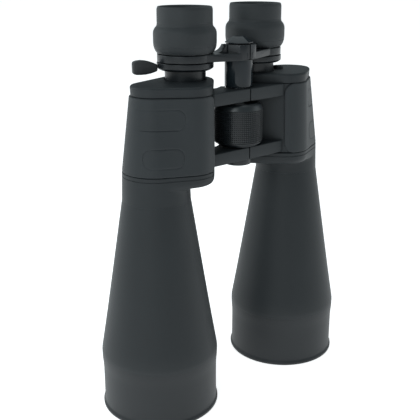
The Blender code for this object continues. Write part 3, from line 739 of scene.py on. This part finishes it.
def eye_lens(word, side, look):
    """An eye lens that bulges on both faces. The right one sits in the dioptre cell."""
    if side > 0:
        radius, low, high, bulge, body = 10.5, 264.4, 271.2, 1.4, "bridge"
    else:
        radius, low, high, bulge, body = 9.6, 265.2, 269.8, 1.2, "dioptre_cell"
        dioptre_cell(look)
    shares = [k / 8 for k in range(9)]
    profile = [(CENTRE_R + radius * share, low + bulge * share ** 2) for share in shares]
    profile += [(radius - (radius - CENTRE_R) * share, high - bulge * (1 - share) ** 2) for share in shares]
    loops = [ring_loop(EYEPIECE, r, z, COARSE) for r, z in profile]
    lens = place(f"eye_glass_{word}", skinned(loops, closed=False), look["coated_glass"], side)
    stands_for(lens, body, f"eye_lens_{word}")


# Studio ----------------------------------------------------------------------------------------------

LAMP_AIM = (0, 0, 0.15)
LAMP_COLOUR = (0.90, 0.98, 1.0)
LAMPS = (                      # name, place and size in metres, power in watts
    ("key", (-1.15, -0.45, 0.75), 0.8, 6.0),
    ("rim", (-0.75, 0.95, 0.70), 0.9, 5.0),
    ("side", (1.0, -0.75, 0.50), 0.7, 1.4),
    ("top", (0.1, 0.1, 1.5), 1.2, 5.0),
)


def add_camera(scene):
    data = bpy.data.cameras.new("camera")
    data.sensor_width, data.lens = 36.0, 64.46
    data.clip_start, data.clip_end = 0.01, 20
    camera = bpy.data.objects.new("camera", data)
    camera.location = (-0.3623, -0.3895, 0.3079)
    camera.rotation_euler = (math.radians(90 - 18.34), 0, math.radians(-41.68))
    scene.collection.objects.link(camera)
    scene.camera = camera


def add_floor():
    """A pale floor, lit from within so that it runs into the white world without an edge."""
    mesh = bmesh.new()
    bmesh.ops.create_circle(mesh, cap_ends=True, segments=96, radius=6000)
    pale, _, shader = blank("floor")
    shader.inputs["Base Color"].default_value = (0.93, 0.93, 0.93, 1)
    shader.inputs["Roughness"].default_value = 0.9
    shader.inputs["Emission Color"].default_value = (1, 1, 1, 1)
    shader.inputs["Emission Strength"].default_value = 0.72
    floor = place("floor", mesh, pale)
    floor.location.z = -0.0003


def add_world(scene):
    """White where the camera sees it, and a dimmer, cooler light on the pieces."""
    world = bpy.data.worlds.new("studio")
    scene.world = world
    world.use_nodes = True
    tree = world.node_tree
    tree.nodes.clear()
    path, mix = tree.nodes.new("ShaderNodeLightPath"), tree.nodes.new("ShaderNodeMixShader")
    tree.links.new(path.outputs["Is Camera Ray"], mix.inputs[0])
    for slot, strength, colour in ((1, 0.36, (0.84, 0.96, 1, 1)), (2, 1.0, (1, 1, 1, 1))):
        light = tree.nodes.new("ShaderNodeBackground")
        light.inputs["Strength"].default_value = strength
        light.inputs["Color"].default_value = colour
        tree.links.new(light.outputs[0], mix.inputs[slot])
    tree.links.new(mix.outputs[0], tree.nodes.new("ShaderNodeOutputWorld").inputs[0])


def add_lamps(scene):
    for name, spot, size, power in LAMPS:
        lamp = bpy.data.lights.new(name, "AREA")
        lamp.size, lamp.energy, lamp.color = size, power, LAMP_COLOUR
        obj = bpy.data.objects.new(name, lamp)
        obj.location = spot
        aim = Vector(LAMP_AIM) - Vector(spot)
        obj.rotation_euler = aim.to_track_quat("-Z", "Y").to_euler()
        scene.collection.objects.link(obj)


# Assembly --------------------------------------------------------------------------------------------

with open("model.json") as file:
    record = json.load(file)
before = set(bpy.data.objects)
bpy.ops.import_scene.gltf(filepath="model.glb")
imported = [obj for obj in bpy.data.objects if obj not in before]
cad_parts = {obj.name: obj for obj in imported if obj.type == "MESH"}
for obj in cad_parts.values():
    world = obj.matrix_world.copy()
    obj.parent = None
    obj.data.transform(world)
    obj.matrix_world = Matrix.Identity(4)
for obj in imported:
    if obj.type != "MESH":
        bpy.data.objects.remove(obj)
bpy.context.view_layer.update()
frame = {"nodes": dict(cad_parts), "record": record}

look = {
    "rubber": surface("rubber", (0.015, 0.018, 0.020), 0.60, 2400, 0.05, sheen=0.08, specular=0.34),
    "armour": surface("armour", (0.0142, 0.0176, 0.0200), 0.58, 2000, 0.06, sheen=0.06, specular=0.32),
    "tube_coat": surface("tube_coat", (0.012, 0.015, 0.017), 0.57, 2600, 0.05, sheen=0.05, specular=0.31,
                         foot=(0.040, 0.056, (0.018, 0.021, 0.023))),
    "hood_rubber": surface("hood_rubber", (0.0160, 0.0182, 0.0202), 0.59, 2400, 0.05, sheen=0.10,
                           specular=0.33),
    "casing_paint": surface("casing_paint", (0.012, 0.015, 0.017), 0.52, 3200, 0.03, specular=0.28),
    "grip_rubber": surface("grip_rubber", (0.009, 0.012, 0.014), 0.34, 3000, 0.02, specular=0.48),
    "satin_black": surface("satin_black", (0.008, 0.010, 0.012), 0.30, 4200, 0.006, specular=0.34),
    "gloss_black": surface("gloss_black", (0.010, 0.014, 0.017), 0.12, 900, 0.002, patchy=0.05, specular=0.26),
    "lever_plastic": surface("lever_plastic", (0.014, 0.016, 0.018), 0.45, 3600, 0.02),
    "black_metal": surface("black_metal", (0.020, 0.020, 0.022), 0.55, 3600, 0.02, metallic=0.6),
    "steel": surface("steel", (0.55, 0.56, 0.58), 0.30, 5000, 0.006, metallic=1.0, patchy=0.05),
    "brass": surface("brass", (0.60, 0.45, 0.20), 0.32, 5000, 0.006, metallic=1.0, patchy=0.06),
    "clear_glass": optic("clear_glass", (0.95, 0.97, 0.97), 0.0),
    "coated_glass": optic("coated_glass", (0.80, 0.86, 0.84), 0.6),
}

for word, side in SIDES.items():
    for build in (lens_hood, objective_tube, objective_glass, prism_casing, rubber_skin, upper_cover,
                  lower_cover, bridge_arm, ocular_tube, zoom_ring, eyepiece_head, rubber_eyecup, eye_lens):
        build(word, side, look)
for build in (tripod_cover, wheel_core, wheel_grip, bridge_shaft, zoom_lever):
    build(look)

slots = {part["node"]: part["material_slot"] for part in frame["record"]["subparts"]}
for name, node in frame["nodes"].items():
    if not node.hide_render:
        node.data.materials.clear()
        node.data.materials.append(look[slots[name]])

studio = bpy.context.scene
studio.view_settings.view_transform = "Standard"
add_camera(studio)
add_floor()
add_world(studio)
add_lamps(studio)
